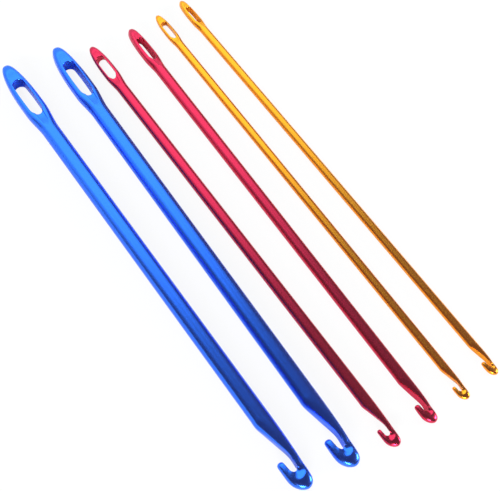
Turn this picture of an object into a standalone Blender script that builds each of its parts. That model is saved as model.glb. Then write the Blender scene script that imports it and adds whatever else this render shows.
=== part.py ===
"""Set of six locker hooks: aluminium needles with a large eye at one end and a hook at the other.

Two each of 6, 4 and 3 mm, lying in a row on a table. Every needle is one solid piece of rod, pressed
and cut at both ends. World: metres, +Z up, the needles along Y with the eyes at +Y, table at Z = 0.
"""
from math import cos, pi, radians, sin

import bmesh
import bpy
from mathutils import Matrix, Vector

MM = 0.001

# ---- driving dimensions, in millimetres of the 6 mm size; the other sizes scale the ends by diameter
LENGTHS = {6.0: 178.2, 4.0: 174.8, 3.0: 175.1}      # by diameter
DESIGN_DIAMETER = 6.0
SIDES = 20                      # facets round the rod

# eye end, measured from its tip
EYE_HALF_WIDTH = 3.85
EYE_HALF_THICKNESS = 2.65
EYE_WIDEST_AT = 18.0
EYE_SQUARENESS = 2.6            # superellipse exponent of the pressed section
TIP_FULLNESS = 2.4              # above 2 the tip is blunter than an ellipse
TIP_THICKENS_OVER = 7.0
NECK_STARTS_AT = 21.0
NECK_ENDS_AT = 31.5
SLOT_FROM = 8.3
SLOT_TO = 24.4
SLOT_WIDTH = 4.6
SLOT_CORNER = 1.8
FRONT_CHANNEL = ((9.5, 3.6, 2.40), (3.4, 2.5, 2.50))     # (from tip, width, floor height)
REAR_CHANNEL = ((23.3, 2.6, 2.38), (31.2, 1.4, 2.98))

# hook end, measured back from the nose: (distance, lip side, back side, half thickness)
HOOK_STATIONS = (
    (24.0, -3.00, 3.00, 3.00),
    (16.0, -3.00, 2.86, 2.80),
    (11.0, -4.58, 2.66, 2.10),
    (7.4, -4.58, 2.46, 1.96),
    (5.2, -4.54, 2.41, 2.02),
    (3.7, -4.30, 2.33, 2.00),
    (1.9, -3.40, 2.02, 1.85),
    (0.8, -2.35, 1.30, 1.45),
    (0.2, -1.25, 0.45, 0.75),
)
HOOK_SQUARENESS = 2.3
NOSE_OFFSET = -0.40
TAPER_START = (26.0, -3.65)     # the milled slope down to the neck, (distance, height) on the lip side
TAPER_END = (11.4, 0.28)
THROAT_CENTRE = (7.5, -0.95)
THROAT_RADIUS = 1.22
LIP_CENTRE = (10.0, -3.60)
LIP_RADIUS = 1.00

# name, diameter, colour, place of the middle (x, y), heading in degrees, roll in degrees
NEEDLES = (
    ("needle_6mm_blue_a", 6.0, "blue", -33.54, 2.50, 0.16, -3.0),
    ("needle_6mm_blue_b", 6.0, "blue", -16.62, 0.12, -0.80, 2.5),
    ("needle_4mm_red_a", 4.0, "red", -3.70, -3.67, 0.19, -17.0),
    ("needle_4mm_red_b", 4.0, "red", 11.02, -4.22, -0.40, 13.0),
    ("needle_3mm_gold_a", 3.0, "gold", 23.64, -3.82, 0.14, -7.0),
    ("needle_3mm_gold_b", 3.0, "gold", 35.40, -2.74, 0.71, 14.0),
)

# base colour, roughness, metallic
FINISHES = {
    "blue": ((0.020, 0.120, 0.800, 1.0), 0.28, 1.0),
    "red": ((0.640, 0.018, 0.060, 1.0), 0.28, 1.0),
    "gold": ((0.800, 0.250, 0.020, 1.0), 0.28, 1.0),
}


def start_clean():
    """Remove every object of the scene and make the two collections."""
    for obj in list(bpy.data.objects):
        bpy.data.objects.remove(obj, do_unlink=True)
    folders = []
    for name in ("locker_hook_set", "cutters"):
        folder = bpy.data.collections.new(name)
        bpy.context.scene.collection.children.link(folder)
        folders.append(folder)
    return folders


def finish_material(name):
    """One anodised finish as a Principled material."""
    colour, roughness, metallic = FINISHES[name]
    material = bpy.data.materials.new(f"anodised_{name}")
    material.use_nodes = True
    shader = material.node_tree.nodes["Principled BSDF"]
    shader.inputs["Base Color"].default_value = colour
    shader.inputs["Roughness"].default_value = roughness
    shader.inputs["Metallic"].default_value = metallic
    return material


def smooth(value, start, end):
    """Go from 0 at start to 1 at end with no corner at either."""
    t = min(max((value - start) / (end - start), 0.0), 1.0)
    return t * t * (3.0 - 2.0 * t)


def tip_profile(distance, length):
    """Rise of a blunt rounded tip, 0 at the point and 1 at its full length."""
    t = min(distance / length, 1.0)
    return (1.0 - (1.0 - t) ** 2) ** (1.0 / TIP_FULLNESS)


def eye_section(distance):
    """Centre, half width, half thickness and squareness of the eye end at a distance from its tip."""
    neck = smooth(distance, NECK_STARTS_AT, NECK_ENDS_AT)
    radius = DESIGN_DIAMETER / 2.0
    width = EYE_HALF_WIDTH * tip_profile(distance, EYE_WIDEST_AT)
    width += (radius - EYE_HALF_WIDTH) * neck
    thickness = EYE_HALF_THICKNESS * tip_profile(distance, TIP_THICKENS_OVER)
    thickness += (radius - EYE_HALF_THICKNESS) * smooth(distance, NECK_STARTS_AT, NECK_ENDS_AT + 1.0)
    squareness = EYE_SQUARENESS + (2.0 - EYE_SQUARENESS) * neck
    return 0.0, width, thickness, squareness


def ring_points(section, y, scale, first_angle):
    """Points of one superellipse section, the facets turned so that one of them lies on the table."""
    centre, half_width, half_thickness, squareness = section
    points = []
    for step in range(SIDES):
        angle = first_angle + (step + 0.5) * 2.0 * pi / SIDES
        c, s = cos(angle), sin(angle)
        reach = (abs(c) ** squareness + abs(s) ** squareness) ** (-1.0 / squareness)
        x = centre + half_width * reach * c
        z = half_thickness * reach * s
        points.append(Vector((x * scale, y, z * scale)))
    return points


def needle_blank(name, diameter, roll):
    """The rod with both ends pressed to shape, before the eye and the throat are cut."""
    scale = diameter / DESIGN_DIAMETER * MM
    eye_y = LENGTHS[diameter] / 2.0 * MM
    first_angle = -pi / 2.0 + roll
    rings = []
    for distance in (0.25, 1.0, 2.4, 4.5, 7.4, 12.0, 18.0, 22.0, 24.8, 27.4, 29.8, 32.5):
        rings.append(ring_points(eye_section(distance), eye_y - distance * scale, scale, first_angle))
    for distance, lip_side, back_side, half_thickness in HOOK_STATIONS:
        centre = (lip_side + back_side) / 2.0
        half_width = (back_side - lip_side) / 2.0
        squareness = 2.0 if distance > 20.0 else HOOK_SQUARENESS
        section = (centre, half_width, half_thickness, squareness)
        rings.append(ring_points(section, -eye_y + distance * scale, scale, first_angle))

    mesh = bpy.data.meshes.new(name)
    bm = bmesh.new()
    loops = [[bm.verts.new(point) for point in ring] for ring in rings]
    for ring, following in zip(loops, loops[1:]):
        for i in range(SIDES):
            j = (i + 1) % SIDES
            bm.faces.new((ring[i], ring[j], following[j], following[i]))
    for ring, tip in ((loops[0], (0.0, eye_y, 0.0)), (loops[-1], (NOSE_OFFSET * scale, -eye_y, 0.0))):
        apex = bm.verts.new(tip)
        for i in range(SIDES):
            bm.faces.new((ring[i], ring[(i + 1) % SIDES], apex))
    bmesh.ops.recalc_face_normals(bm, faces=bm.faces)
    bm.to_mesh(mesh)
    bm.free()
    return bpy.data.objects.new(name, mesh)


def prism(name, outline, half_height, folder):
    """A cutter: a closed outline in X and Y, extruded through the needle's thickness."""
    mesh = bpy.data.meshes.new(name)
    bm = bmesh.new()
    base = bm.faces.new([bm.verts.new((x, y, -half_height)) for x, y in outline])
    grown = bmesh.ops.extrude_face_region(bm, geom=[base])
    top = [item for item in grown["geom"] if isinstance(item, bmesh.types.BMVert)]
    bmesh.ops.translate(bm, verts=top, vec=(0.0, 0.0, 2.0 * half_height))
    bmesh.ops.recalc_face_normals(bm, faces=bm.faces)
    bm.to_mesh(mesh)
    bm.free()
    return place_cutter(name, mesh, folder)


def channel(name, start, end, eye_y, scale, side, folder):
    """A cutter for the shallow channel that runs out of the slot on one face of the eye."""
    bm = bmesh.new()
    for distance, width, floor in (start, end):
        y = eye_y - distance * scale
        for x in (-width / 2.0, width / 2.0):
            bm.verts.new((x * scale, y, side * floor * scale))
            bm.verts.new((x * 1.15 * scale, y, side * (floor + 2.0) * scale))
    bmesh.ops.convex_hull(bm, input=bm.verts)
    bmesh.ops.recalc_face_normals(bm, faces=bm.faces)
    mesh = bpy.data.meshes.new(name)
    bm.to_mesh(mesh)
    bm.free()
    return place_cutter(name, mesh, folder)


def place_cutter(name, mesh, folder):
    """Link a cutter, out of the render and drawn as wire."""
    cutter = bpy.data.objects.new(name, mesh)
    folder.objects.link(cutter)
    cutter.hide_render = True
    cutter.display_type = "WIRE"
    return cutter


def arc(centre, radius, start, end, steps):
    """Points of an arc as (x, y), angles in degrees."""
    turns = [radians(start + (end - start) * i / steps) for i in range(steps + 1)]
    return [(centre[0] + radius * cos(t), centre[1] + radius * sin(t)) for t in turns]


def slot_outline(eye_y, scale):
    """The eye: a long slot with rounded corners."""
    half = SLOT_WIDTH / 2.0 - SLOT_CORNER
    points = []
    for x, distance, start in (
        (half, SLOT_FROM + SLOT_CORNER, 0),
        (-half, SLOT_FROM + SLOT_CORNER, 90),
        (-half, SLOT_TO - SLOT_CORNER, 180),
        (half, SLOT_TO - SLOT_CORNER, 270),
    ):
        points += arc((x, -distance), SLOT_CORNER, start, start + 90, 3)
    return [(x * scale, eye_y + y * scale) for x, y in points]


def throat_outline(eye_y, scale):
    """The hook's cut: the long slope, the round throat and the rounded end of the lip."""
    points = [TAPER_START, TAPER_END]
    points += arc(THROAT_CENTRE, THROAT_RADIUS, 90, 270, 8)
    points += arc(LIP_CENTRE, LIP_RADIUS, 90, -90, 7)
    points += [(LIP_CENTRE[0], -7.0), (TAPER_START[0], -7.0)]
    return [(height * scale, -eye_y + distance * scale) for distance, height in points]


def cut(target, folder):
    """Subtract all the cutters of a collection from the needle with one exact Boolean."""
    modifier = target.modifiers.new("cuts", "BOOLEAN")
    modifier.operation = "DIFFERENCE"
    modifier.solver = "EXACT"
    modifier.operand_type = "COLLECTION"
    modifier.collection = folder


def make_needle(spec, materials, parts, cutters):
    """One needle: blank, slot, four channels and throat, laid on the table."""
    name, diameter, colour, x, y, heading, roll = spec
    scale = diameter / DESIGN_DIAMETER * MM
    eye_y = LENGTHS[diameter] / 2.0 * MM
    needle = needle_blank(name, diameter, radians(roll))
    parts.objects.link(needle)
    needle.data.materials.append(materials[colour])
    folder = bpy.data.collections.new(f"cutters_{name}")
    cutters.children.link(folder)

    tools = [prism(f"cut_slot_{name}", slot_outline(eye_y, scale), 4.0 * scale, folder)]
    for face, side in (("top", 1), ("bottom", -1)):
        for end, stations in (("front", FRONT_CHANNEL), ("rear", REAR_CHANNEL)):
            label = f"cut_{end}_{face}_{name}"
            tools.append(channel(label, *stations, eye_y, scale, side, folder))
    tools.append(prism(f"cut_throat_{name}", throat_outline(eye_y, scale), 4.0 * scale, folder))

    # the rod rests on one of its facets, so its axis is one inner radius above the table
    lift = diameter / 2.0 * cos(pi / SIDES) * MM
    place = Matrix.Translation((x * MM, y * MM, lift))
    place = place @ Matrix.Rotation(radians(heading), 4, "Z") @ Matrix.Rotation(radians(roll), 4, "Y")
    for item in (needle, *tools):
        item.matrix_world = place
    cut(needle, folder)
    return needle


def build():
    """Make the whole set."""
    parts, cutters = start_clean()
    materials = {name: finish_material(name) for name in FINISHES}
    for spec in NEEDLES:
        make_needle(spec, materials, parts, cutters)
    bpy.context.view_layer.update()


build()
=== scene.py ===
"""Looks of the set of six anodised locker hooks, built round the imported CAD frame.

Lengths of the needles' ends are millimetres of the 6 mm size; the thinner sizes scale them by diameter.
Each needle is drawn in its own frame: the eye's tip at +Y, the nose at -Y, the lip towards -X.
"""
from math import cos, pi, radians, sin

import bmesh
import bpy
import numpy as np
from mathutils import Matrix, Vector

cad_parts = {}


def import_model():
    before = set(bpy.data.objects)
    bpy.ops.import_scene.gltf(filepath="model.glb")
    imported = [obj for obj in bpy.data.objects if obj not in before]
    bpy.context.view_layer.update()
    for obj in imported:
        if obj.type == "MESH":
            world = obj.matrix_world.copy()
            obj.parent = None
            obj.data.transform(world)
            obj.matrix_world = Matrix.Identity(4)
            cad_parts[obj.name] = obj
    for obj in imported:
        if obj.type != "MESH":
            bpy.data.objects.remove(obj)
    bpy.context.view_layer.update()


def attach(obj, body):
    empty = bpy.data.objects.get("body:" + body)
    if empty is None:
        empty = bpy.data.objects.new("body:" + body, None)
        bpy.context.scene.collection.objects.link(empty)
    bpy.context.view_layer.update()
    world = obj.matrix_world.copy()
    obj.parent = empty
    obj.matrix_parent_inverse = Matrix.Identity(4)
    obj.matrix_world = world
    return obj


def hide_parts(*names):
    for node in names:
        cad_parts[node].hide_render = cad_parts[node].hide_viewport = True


MM = 0.001
LENGTHS = {6.0: 178.2, 4.0: 174.8, 3.0: 175.1}      # by diameter
DESIGN_DIAMETER = 6.0
RADIUS = DESIGN_DIAMETER / 2.0
QUARTER = 32                    # columns in a quarter of the rod's round section

# ---- eye end, measured from its tip
EYE_HALF_WIDTH = 3.83
EYE_HALF_THICKNESS = 2.63
EYE_WIDEST_AT = 18.0
EYE_SQUARENESS = 3.0
TIP_FULLNESS = 2.4
TIP_THICKENS_OVER = 4.5
TIP_THICKNESS_FULLNESS = 2.8
NECK_STARTS_AT = 21.0
NECK_ENDS_AT = 31.5
EYE_ENDS_AT = 34.5
TIP_ENDS_AT = 2.4               # up to here the columns are spread as on the round rod
SLOT_FROM, SLOT_TO = 8.4, 24.5
SLOT_HALF_WIDTH = 2.24
SLOT_BOW = 0.12                 # how much the slot narrows from its middle to its ends
SLOT_FRONT_LENGTH, SLOT_FRONT_SQUARENESS = 1.7, 2.1     # the rounded end near the tip
SLOT_REAR_LENGTH, SLOT_REAR_SQUARENESS = 3.0, 1.85      # the rounded end near the rod
SLOT_RIM = 0.26                 # radius of the slot's rounded edge
CHANNEL_FRONT = (3.0, 8.4)      # the shallow channels that run out of the slot
CHANNEL_FRONT_HALF_WIDTH = (1.20, 1.80)
CHANNEL_REAR = (24.5, 31.5)
CHANNEL_REAR_HALF_WIDTH = (1.25, 0.72)
CHANNEL_DEPTH = (0.26, 0.55)
CHANNEL_EDGE = 0.16             # width of the step down into a channel
INNER_COLUMNS = 15              # columns from the slot's edge to the channel's
WALL_ROWS = 9                   # points down the slot's wall
OUTLINE_POINTS = 600

# ---- hook end, measured back from the nose as (distance, height); the lip is at negative heights
THROAT_CENTRE = (7.4, -1.06)
THROAT_RADIUS = 1.25
LIP_END_CENTRE = (10.0, -3.56)
LIP_END_RADIUS = 1.02
HOOK_STARTS_AT = 26.0
THROAT_HOLLOW = 0.26            # how much thinner the hook is where it meets the throat
THROAT_HOLLOW_REACH = (0.7, 3.1)
# inner edge, outer edge, half width of the round part that ends at the outer edge, half thickness,
# squareness, softness of the inner face's corners, hollowing towards the inner edge
SLOPE_STATIONS = (
    ((26.0, -3.00), (26.0, 3.00), 3.00, 3.00, 2.0, 0.00, 0.0),
    ((23.6, -3.00), (23.6, 3.00), 3.00, 3.00, 2.0, 0.02, 0.0),
    ((20.0, -2.06), (20.0, 2.96), 2.60, 2.95, 2.0, 0.32, 0.0),
    ((16.0, -1.00), (16.0, 2.86), 2.08, 2.75, 2.1, 0.32, 0.0),
    ((13.0, -0.20), (13.0, 2.74), 1.66, 2.50, 2.2, 0.30, 0.0),
    ((10.8, 0.18), (10.8, 2.64), 1.45, 2.25, 2.3, 0.28, 0.0),
    ((9.0, 0.20), (9.0, 2.54), 1.50, 2.10, 2.4, 0.28, 0.0),
)
# turn round the throat in degrees, outer edge (distance, height), half width, half thickness, hollowing
BEND_STATIONS = (
    (0, 7.4, 2.46, 2.05, 2.04, 0.0),
    (20, 5.6, 2.42, 2.40, 2.02, 0.3),
    (38, 3.8, 2.34, 2.80, 2.00, 0.8),
    (53, 2.2, 2.12, 3.20, 2.00, 1.0),
    (64, 1.1, 1.62, 3.40, 2.00, 1.0),
    (74, 0.35, 0.75, 3.55, 2.00, 1.0),
    (85, 0.0, -0.40, 3.60, 2.00, 1.0),
    (98, 0.28, -1.50, 3.45, 2.00, 0.8),
    (113, 1.15, -2.78, 3.10, 1.98, 0.4),
    (128, 2.5, -3.80, 2.75, 1.95, 0.1),
    (142, 4.0, -4.38, 2.35, 1.90, 0.0),
    (158, 5.6, -4.56, 1.95, 1.84, 0.0),
    (178, 7.3, -4.58, 1.55, 1.76, 0.0),
)
BEND_SQUARENESS, BEND_SOFTNESS = 2.4, 0.34
LIP_STATION = ((8.7, -2.42), (8.7, -4.58), 1.45, 1.64, 2.3, 0.32, 0.0)
LIP_END_TURNS = (0, 25, 45, 60, 72, 81, 87, 90)         # degrees round the lip's end
HOOK_STEPS = 9                  # rings between two stations
SHAFT_RINGS = 25
WELD = 0.0015                   # points closer than this become one

# name, diameter, finish, place of the middle (x, y), heading and roll in degrees
NEEDLES = (
    ("needle_6mm_blue_a", 6.0, "blue", -33.54, 2.50, 0.16, -3.0),
    ("needle_6mm_blue_b", 6.0, "blue", -16.62, 0.12, -0.80, 2.5),
    ("needle_4mm_red_a", 4.0, "red", -3.70, -3.67, 0.19, -17.0),
    ("needle_4mm_red_b", 4.0, "red", 11.02, -4.22, -0.40, 13.0),
    ("needle_3mm_gold_a", 3.0, "gold", 23.64, -3.82, 0.14, -7.0),
    ("needle_3mm_gold_b", 3.0, "gold", 35.40, -2.74, 0.71, 14.0),
)

# base colour of each anodised finish, linear
FINISHES = {
    "blue": (0.026, 0.160, 0.930),
    "red": (0.620, 0.020, 0.070),
    "gold": (0.900, 0.330, 0.016),
}
DARKER, LIGHTER = 0.93, 1.07    # how far the colour wanders
ROUGHNESS = (0.22, 0.28)
HAZE, HAZE_ROUGHNESS = 0.35, 0.6        # the clear oxide film's milky look over the dyed metal
# scale, stretch along the rod and detail of the three surface patterns
DRAWING_LINES = (4200.0, 90.0, 2.0)
GRAIN = (16000.0, 3.0, 2.0)
CLOUDS = (260.0, 5.0, 3.0)
BUMP_STRENGTH = 0.05
LINE_DEPTH, GRAIN_DEPTH = 0.00001, 0.000004

# table and room
TABLE_HALF_SIDE = 1.2
TABLE_SHADE = 0.90
TABLE_ROUGHNESS = 0.9
TABLE_SPECULAR = 0.2
TABLE_WHITE_SHARE = 0.88
ROOM_COLOUR = (1.0, 0.62, 0.95, 1.0)
ROOM_STRENGTH = 0.15
ROOM_WHITE_SHARE = 1.0

# lamps: name, place, the point it faces, size, power, colour, whether the metal mirrors it
WHITE = (1.0, 1.0, 1.0)
COOL = (0.82, 1.04, 1.0)
LAMPS = (
    ("eye_end_wall", (-0.2, 0.60, 0.75), (-0.2, 0.0, 0.75), (1.9, 1.46), 9.6, COOL, True),
    ("eye_end_side", (1.05, 0.60, 0.87), (1.05, 0.0, 0.87), (0.6, 0.76), 1.7, COOL, True),
    ("eye_end_box", (0.05, 0.59, 1.04), (0.05, 0.0, 1.04), (1.6, 1.14), 5.6, COOL, True),
    ("hook_light_right", (0.85, -0.47, 0.36), (0.0, -0.09, 0.0), (0.35, 0.25), 9.0, WHITE, True),
    ("hook_light_left", (-0.56, -0.84, 0.33), (0.0, -0.09, 0.0), (0.35, 0.25), 9.0, WHITE, True),
    ("table_fill", (-0.85, 0.0, 1.05), (0.0, 0.0, 0.0), (1.4, 1.4), 10.0, WHITE, False),
)

# camera: the point it looks at, how far off it is and its turn in degrees
CAMERA_AIM = Vector((-0.00149, -0.01082, 0.0))
CAMERA_DISTANCE = 0.3581
CAMERA_TURN = (27.838, -3.588, -35.041)
CAMERA_LENS = 79.2
CAMERA_NEAR = 0.01


# ------------------------------------------------------------------ shape of the eye end
def smooth(value, start, end):
    """Go from 0 at start to 1 at end with no corner at either."""
    t = np.clip((value - start) / (end - start), 0.0, 1.0)
    return t * t * (3.0 - 2.0 * t)


def tip_profile(distance, length, fullness):
    """Rise of a blunt rounded tip, 0 at the point and 1 at its full length."""
    t = np.clip(distance / length, 0.0, 1.0)
    return (1.0 - (1.0 - t) ** 2) ** (1.0 / fullness)


def eye_half_width(s):
    """Half the eye end's width."""
    width = EYE_HALF_WIDTH * tip_profile(s, EYE_WIDEST_AT, TIP_FULLNESS)
    return width + (RADIUS - EYE_HALF_WIDTH) * smooth(s, NECK_STARTS_AT, NECK_ENDS_AT)


def crown(s, u):
    """Height of the plain pressed surface above the eye's middle plane."""
    neck = smooth(s, NECK_STARTS_AT, NECK_ENDS_AT)
    half = EYE_HALF_THICKNESS * tip_profile(s, TIP_THICKENS_OVER, TIP_THICKNESS_FULLNESS)
    half = half + (RADIUS - EYE_HALF_THICKNESS) * smooth(s, NECK_STARTS_AT, NECK_ENDS_AT + 1.0)
    squareness = EYE_SQUARENESS + (2.0 - EYE_SQUARENESS) * neck
    share = np.clip(np.abs(u) / np.maximum(eye_half_width(s), 1e-9), 0.0, 1.0)
    return half * (1.0 - share**squareness) ** (1.0 / squareness)


def slot_half_width(s):
    """Half the slot's width, 0 at its two ends and beyond."""
    front = np.clip((s - SLOT_FROM) / SLOT_FRONT_LENGTH, 0.0, 1.0)
    rear = np.clip((SLOT_TO - s) / SLOT_REAR_LENGTH, 0.0, 1.0)
    front = (1.0 - (1.0 - front) ** SLOT_FRONT_SQUARENESS) ** (1.0 / SLOT_FRONT_SQUARENESS)
    rear = (1.0 - (1.0 - rear) ** SLOT_REAR_SQUARENESS) ** (1.0 / SLOT_REAR_SQUARENESS)
    middle, half = (SLOT_FROM + SLOT_TO) / 2.0, (SLOT_TO - SLOT_FROM) / 2.0
    bow = 1.0 - SLOT_BOW * np.clip(((s - middle) / half) ** 2, 0.0, 1.0)
    return SLOT_HALF_WIDTH * bow * front * rear


def slot_outline():
    """Points of one side of the slot's edge, close together."""
    turn = np.linspace(0.0, pi, OUTLINE_POINTS)
    s = (SLOT_FROM + SLOT_TO) / 2.0 - (SLOT_TO - SLOT_FROM) / 2.0 * np.cos(turn)
    return np.stack([s, slot_half_width(s)], axis=-1)


def distance_to_slot(s, u, outline):
    """Shortest distance from each point to the slot's edge."""
    point = np.stack([s, np.abs(u)], axis=-1)[..., None, :]
    start, step = outline[:-1], np.diff(outline, axis=0)
    along = ((point - start) * step).sum(-1) / (step * step).sum(-1)
    nearest = start + np.clip(along, 0.0, 1.0)[..., None] * step
    return np.sqrt(((point - nearest) ** 2).sum(-1)).min(-1)


def channel_half_width(s):
    """Half the width of the channels in front of the slot and behind it."""
    front = np.interp(s, CHANNEL_FRONT, CHANNEL_FRONT_HALF_WIDTH)
    rear = np.interp(s, CHANNEL_REAR, CHANNEL_REAR_HALF_WIDTH)
    return np.where(s < (SLOT_FROM + SLOT_TO) / 2.0, front, rear)


def channel_depth(s):
    """Depth of the channels, running out to nothing at their far ends."""
    front = CHANNEL_DEPTH[0] * smooth(s, CHANNEL_FRONT[0], CHANNEL_FRONT[1] - 1.0)
    rear = CHANNEL_DEPTH[1] * smooth(CHANNEL_REAR[1] - s, 0.0, CHANNEL_REAR[1] - CHANNEL_REAR[0])
    return np.where(s < (SLOT_FROM + SLOT_TO) / 2.0, front, rear)


def eye_surface(s, u, outline):
    """Height of the finished top: crown, channels and the slot's rounded rim."""
    height = crown(s, u)
    edge = channel_half_width(s)
    inside = 1.0 - smooth(np.abs(u), edge, edge + CHANNEL_EDGE)
    floor = crown(s, 0.0 * u) - channel_depth(s)
    height = height * (1.0 - inside) + np.minimum(floor, height) * inside
    near = np.clip(distance_to_slot(s, u, outline), 0.0, SLOT_RIM)
    drop = SLOT_RIM - np.sqrt(SLOT_RIM**2 - (SLOT_RIM - near) ** 2)
    return np.maximum(height - drop, 0.0)


def eye_rows():
    """Distances of the eye end's cross rows, close together where the shape turns fast."""
    rim = SLOT_RIM * np.array([0.0, 0.11, 0.24, 0.40, 0.60, 0.82, 1.0])
    ease = 1.0 - np.cos(np.linspace(0.0, pi / 2.0, 16))
    rows = [
        CHANNEL_FRONT[0] * np.linspace(0.0, 1.0, 26) ** 2.2,
        np.linspace(CHANNEL_FRONT[0], SLOT_FROM - SLOT_RIM, 14),
        SLOT_FROM - rim,
        SLOT_FROM + SLOT_FRONT_LENGTH * ease,
        np.linspace(SLOT_FROM + SLOT_FRONT_LENGTH, SLOT_TO - SLOT_REAR_LENGTH, 16),
        SLOT_TO - SLOT_REAR_LENGTH * ease,
        SLOT_TO + rim,
        np.linspace(SLOT_TO + SLOT_RIM, EYE_ENDS_AT, 34),
    ]
    return np.unique(np.round(np.concatenate(rows), 6))


def eye_columns(s):
    """Offsets from the middle line of one row's columns, from the slot's edge out to the side."""
    inner, outer = slot_half_width(s), eye_half_width(s)
    rim = inner + SLOT_RIM * np.array([0.0, 0.03, 0.12, 0.30, 0.60, 1.0])
    edge = max(channel_half_width(s), rim[-1] + 0.05)
    wall = edge + CHANNEL_EDGE * np.array([0.0, 0.3, 0.7, 1.0])
    near = np.concatenate([rim, np.linspace(rim[-1], edge, 8)[1:-1], wall])
    near = inner + (near - inner) * min(1.0, (0.9 * outer - inner) / (near[-1] - inner))
    far = np.linspace(0.0, pi / 2.0, QUARTER - INNER_COLUMNS + 1)[1:]
    pressed = np.concatenate([near, near[-1] + (outer - near[-1]) * np.sin(far)])
    plain = outer * np.sin(np.linspace(0.0, pi / 2.0, QUARTER + 1))
    blend = max(smooth(s, NECK_ENDS_AT, EYE_ENDS_AT), 1.0 - smooth(s, 0.0, TIP_ENDS_AT))
    blend = blend if inner == 0.0 else 0.0
    return pressed * (1.0 - blend) + plain * blend


def eye_patches():
    """Grids of points for the eye end's top, underside and slot walls."""
    outline = slot_outline()
    rows = eye_rows()
    offsets = np.array([eye_columns(s) for s in rows])
    along = np.repeat(rows[:, None], QUARTER + 1, axis=1)
    heights = eye_surface(along, offsets, outline)
    heights[:, -1] = 0.0
    patches = []
    for side in (1, -1):
        for face in (1, -1):
            patches.append(np.stack([side * offsets, -along, face * heights], axis=-1))
        inside = (rows >= SLOT_FROM) & (rows <= SLOT_TO)
        wall = np.linspace(1.0, -1.0, WALL_ROWS)[None, :] * heights[inside, :1]
        edge = np.repeat(side * offsets[inside, :1], WALL_ROWS, axis=1)
        back = -np.repeat(rows[inside, None], WALL_ROWS, axis=1)
        patches.append(np.stack([edge, back, wall], axis=-1))
    return patches


# ------------------------------------------------------------------ shape of the hook end
def hook_stations():
    """Sections round the hook, from the rod down the slope, round the throat and to the lip's end."""
    stations = list(SLOPE_STATIONS)
    for turn, distance, height, reach, thickness, hollow in BEND_STATIONS:
        inner = (
            THROAT_CENTRE[0] - THROAT_RADIUS * sin(radians(turn)),
            THROAT_CENTRE[1] + THROAT_RADIUS * cos(radians(turn)),
        )
        outer = (distance, height)
        stations.append((inner, outer, reach, thickness, BEND_SQUARENESS, BEND_SOFTNESS, hollow))
    stations.append(LIP_STATION)
    x, y = LIP_END_CENTRE
    for turn in LIP_END_TURNS:
        c, s = cos(radians(turn)), sin(radians(turn))
        ahead, half = LIP_END_RADIUS * s, LIP_END_RADIUS * c
        thickness = (1.46 - 0.36 * s) * c**0.7
        inner, outer = (x + ahead, y + half), (x + ahead, y - half)
        stations.append((inner, outer, 1.4 * half, thickness, 2.2, 0.28 * c, 0.0))
    return stations


def spline(values, steps):
    """Points of a Catmull-Rom curve through rows of values."""
    values = np.asarray(values, float)
    padded = np.vstack([2 * values[0] - values[1], values, 2 * values[-1] - values[-2]])
    points = []
    for before, start, end, after in zip(padded, padded[1:], padded[2:], padded[3:]):
        for t in np.arange(steps) / steps:
            points.append(
                0.5 * (2 * start + (end - before) * t
                       + (2 * before - 5 * start + 4 * end - after) * t**2
                       + (3 * start - before - 3 * end + after) * t**3)
            )
    points.append(values[-1])
    return np.array(points)


def hook_patch():
    """Grid of points for the hook end: rings round a J-shaped path."""
    rows = spline([(*inner, *outer, *rest) for inner, outer, *rest in hook_stations()], HOOK_STEPS)
    turn = np.linspace(0.0, 2.0 * pi, 4 * QUARTER + 1)
    c, s = np.cos(turn), np.sin(turn)
    rings = []
    for d0, h0, d1, h1, reach, thickness, squareness, soft, hollow in rows:
        inner, outer = np.array([d0, h0]), np.array([d1, h1])
        width = max(np.linalg.norm(outer - inner), 1e-9)
        far = (np.abs(c) ** squareness + np.abs(s) ** squareness) ** (-1.0 / squareness)
        x = width - reach + reach * far * c
        if soft > 1e-6:
            blended = (x + soft) ** 2 / (4.0 * soft)
            x = np.where(x > soft, x, np.where(x < -soft, 0.0, blended))
        else:
            x = np.maximum(x, 0.0)
        thinner = 1.0 - THROAT_HOLLOW * hollow * (1.0 - smooth(x, *THROAT_HOLLOW_REACH))
        place = inner + (outer - inner) / width * x[:, None]
        rings.append(np.stack([place[:, 1], place[:, 0], thickness * thinner * far * s], axis=-1))
    return np.array(rings)


# ------------------------------------------------------------------ one needle
def add_grid(bm, points):
    """Add a grid of points to a mesh as quads."""
    verts = [[bm.verts.new(p) for p in row] for row in points]
    for row, following in zip(verts, verts[1:]):
        for i in range(len(row) - 1):
            bm.faces.new((row[i], row[i + 1], following[i + 1], following[i]))


def shaft_patch(eye_end, hook_end):
    """Grid for the plain round rod between the two worked ends, in metres."""
    turn = np.linspace(0.0, 2.0 * pi, 4 * QUARTER + 1)
    rows = []
    for y in np.linspace(eye_end, hook_end, SHAFT_RINGS):
        rows.append(np.stack([np.cos(turn), 0 * turn + y, np.sin(turn)], axis=-1))
    return np.array(rows)


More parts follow.
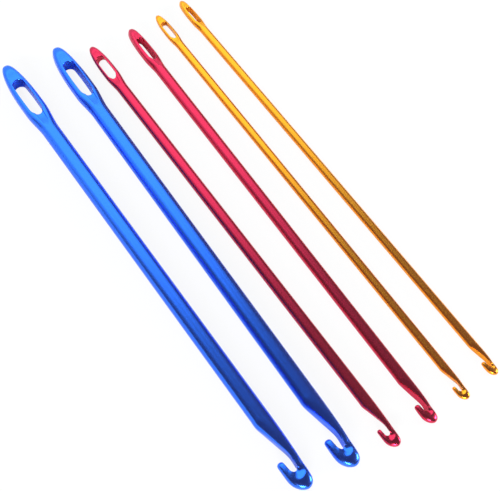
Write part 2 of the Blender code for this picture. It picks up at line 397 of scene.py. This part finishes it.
def make_needle(spec, material, eye, hook):
    """One needle as one closed smooth mesh, laid where its CAD node lies."""
    name, diameter, finish, x, y, heading, roll = spec
    scale = diameter / DESIGN_DIAMETER * MM
    half_length = LENGTHS[diameter] / 2.0 * MM
    bm = bmesh.new()
    for patch in eye:
        add_grid(bm, patch * scale + np.array([0.0, half_length, 0.0]))
    add_grid(bm, hook * scale - np.array([0.0, half_length, 0.0]))
    rod = shaft_patch(half_length - EYE_ENDS_AT * scale, HOOK_STARTS_AT * scale - half_length)
    add_grid(bm, rod * np.array([RADIUS * scale, 1.0, RADIUS * scale]))
    bmesh.ops.remove_doubles(bm, verts=bm.verts, dist=WELD * scale)
    bmesh.ops.recalc_face_normals(bm, faces=bm.faces)
    mesh = bpy.data.meshes.new(f"{name}_finished")
    bm.to_mesh(mesh)
    bm.free()
    mesh.polygons.foreach_set("use_smooth", [True] * len(mesh.polygons))
    mesh.materials.append(material)
    needle = bpy.data.objects.new(f"{name}_finished", mesh)
    bpy.context.scene.collection.objects.link(needle)
    place = Matrix.Translation((x * MM, y * MM, diameter / 2.0 * MM))
    lie = Matrix.Rotation(radians(heading), 4, "Z") @ Matrix.Rotation(radians(roll), 4, "Y")
    needle.matrix_world = place @ lie
    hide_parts(name)
    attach(needle, name.replace("needle_", "") + "_body")


# ------------------------------------------------------------------ materials
def link(tree, source, output, target, socket):
    """Join two nodes by socket name."""
    tree.links.new(source.outputs[output], target.inputs[socket])


def noise(tree, scale, stretch, detail):
    """Noise in the needle's own frame, stretched along the rod."""
    place = tree.nodes.new("ShaderNodeTexCoord")
    mapping = tree.nodes.new("ShaderNodeMapping")
    mapping.inputs["Scale"].default_value = (scale, scale / stretch, scale)
    link(tree, place, "Object", mapping, "Vector")
    texture = tree.nodes.new("ShaderNodeTexNoise")
    texture.inputs["Scale"].default_value = 1.0
    texture.inputs["Detail"].default_value = detail
    link(tree, mapping, "Vector", texture, "Vector")
    return texture


def anodised(name, colour):
    """Satin anodised aluminium: dyed metal with faint drawing lines along the rod and a fine grain."""
    material = bpy.data.materials.new(f"anodised_{name}")
    material.use_nodes = True
    tree = material.node_tree
    shader = tree.nodes["Principled BSDF"]
    shader.inputs["Metallic"].default_value = 1.0
    shader.inputs["Coat Weight"].default_value = HAZE
    shader.inputs["Coat Roughness"].default_value = HAZE_ROUGHNESS

    lines = noise(tree, *DRAWING_LINES)
    grain = noise(tree, *GRAIN)
    cloud = noise(tree, *CLOUDS)

    tone = tree.nodes.new("ShaderNodeMix")
    tone.data_type = "RGBA"
    tone.inputs["A"].default_value = (*[c * DARKER for c in colour], 1.0)
    tone.inputs["B"].default_value = (*[min(c * LIGHTER, 1.0) for c in colour], 1.0)
    link(tree, cloud, "Fac", tone, "Factor")
    link(tree, tone, "Result", shader, "Base Color")

    gloss = tree.nodes.new("ShaderNodeMapRange")
    gloss.inputs["To Min"].default_value = ROUGHNESS[0]
    gloss.inputs["To Max"].default_value = ROUGHNESS[1]
    link(tree, lines, "Fac", gloss, "Value")
    link(tree, gloss, "Result", shader, "Roughness")

    normal = None
    for texture, depth in ((lines, LINE_DEPTH), (grain, GRAIN_DEPTH)):
        bump = tree.nodes.new("ShaderNodeBump")
        bump.inputs["Strength"].default_value = BUMP_STRENGTH
        bump.inputs["Distance"].default_value = depth
        link(tree, texture, "Fac", bump, "Height")
        if normal:
            link(tree, normal, "Normal", bump, "Normal")
        normal = bump
    link(tree, normal, "Normal", shader, "Normal")
    return material


def floor_material():
    """A plain white table: as it is lit where the metal mirrors it, nearly plain white to the lens."""
    material = bpy.data.materials.new("white_table")
    material.use_nodes = True
    tree = material.node_tree
    lit = tree.nodes["Principled BSDF"]
    lit.inputs["Base Color"].default_value = (TABLE_SHADE, TABLE_SHADE, TABLE_SHADE, 1.0)
    lit.inputs["Roughness"].default_value = TABLE_ROUGHNESS
    lit.inputs["Specular IOR Level"].default_value = TABLE_SPECULAR
    whiten_to_lens(tree, lit, "BSDF", tree.nodes["Material Output"], TABLE_WHITE_SHARE)
    return material


def whiten_to_lens(tree, shader, output, end, share):
    """Show a shader to the lens as mostly plain white, and as it is to every other ray."""
    ray = tree.nodes.new("ShaderNodeLightPath")
    part = tree.nodes.new("ShaderNodeMath")
    part.operation = "MULTIPLY"
    part.inputs[1].default_value = share
    white = tree.nodes.new("ShaderNodeEmission" if output == "BSDF" else "ShaderNodeBackground")
    mix = tree.nodes.new("ShaderNodeMixShader")
    link(tree, ray, "Is Camera Ray", part, 0)
    link(tree, part, "Value", mix, "Fac")
    tree.links.new(shader.outputs[output], mix.inputs[1])
    tree.links.new(white.outputs[0], mix.inputs[2])
    link(tree, mix, "Shader", end, "Surface")


# ------------------------------------------------------------------ studio
def make_floor():
    """The table under the row."""
    mesh = bpy.data.meshes.new("table")
    bm = bmesh.new()
    bmesh.ops.create_grid(bm, x_segments=1, y_segments=1, size=TABLE_HALF_SIDE)
    bm.to_mesh(mesh)
    bm.free()
    mesh.materials.append(floor_material())
    table = bpy.data.objects.new("table", mesh)
    bpy.context.scene.collection.objects.link(table)


def area_light(name, place, aim, size, power, colour, glossy):
    """A rectangular soft light that faces a point."""
    data = bpy.data.lights.new(name, "AREA")
    data.shape = "RECTANGLE"
    data.size, data.size_y = size
    data.energy = power
    data.color = colour
    lamp = bpy.data.objects.new(name, data)
    bpy.context.scene.collection.objects.link(lamp)
    lamp.location = place
    lamp.rotation_euler = (Vector(aim) - Vector(place)).to_track_quat("-Z", "Y").to_euler()
    lamp.visible_glossy = glossy


def make_lights():
    """Walls of light beyond the eyes, two low lights behind the hooks, a fill and a dim room."""
    for lamp in LAMPS:
        area_light(*lamp)
    world = bpy.data.worlds.new("room")
    bpy.context.scene.world = world
    world.use_nodes = True
    tree = world.node_tree
    room = tree.nodes["Background"]
    room.inputs["Color"].default_value = ROOM_COLOUR
    room.inputs["Strength"].default_value = ROOM_STRENGTH
    whiten_to_lens(tree, room, "Background", tree.nodes["World Output"], ROOM_WHITE_SHARE)


def make_camera():
    """The view over the row from above the hooks, with the eyes at the top left."""
    data = bpy.data.cameras.new("camera")
    data.lens = CAMERA_LENS
    camera = bpy.data.objects.new("camera", data)
    bpy.context.scene.collection.objects.link(camera)
    camera.rotation_euler = [radians(a) for a in CAMERA_TURN]
    back = camera.rotation_euler.to_matrix() @ Vector((0.0, 0.0, 1.0))
    camera.location = CAMERA_AIM + back * CAMERA_DISTANCE
    data.clip_start = CAMERA_NEAR
    bpy.context.scene.camera = camera


def main():
    """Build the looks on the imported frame."""
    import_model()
    bpy.context.scene.view_settings.view_transform = "Standard"
    materials = {name: anodised(name, colour) for name, colour in FINISHES.items()}
    eye, hook = eye_patches(), hook_patch()
    for spec in NEEDLES:
        make_needle(spec, materials[spec[2]], eye, hook)
    make_floor()
    make_lights()
    make_camera()


main()
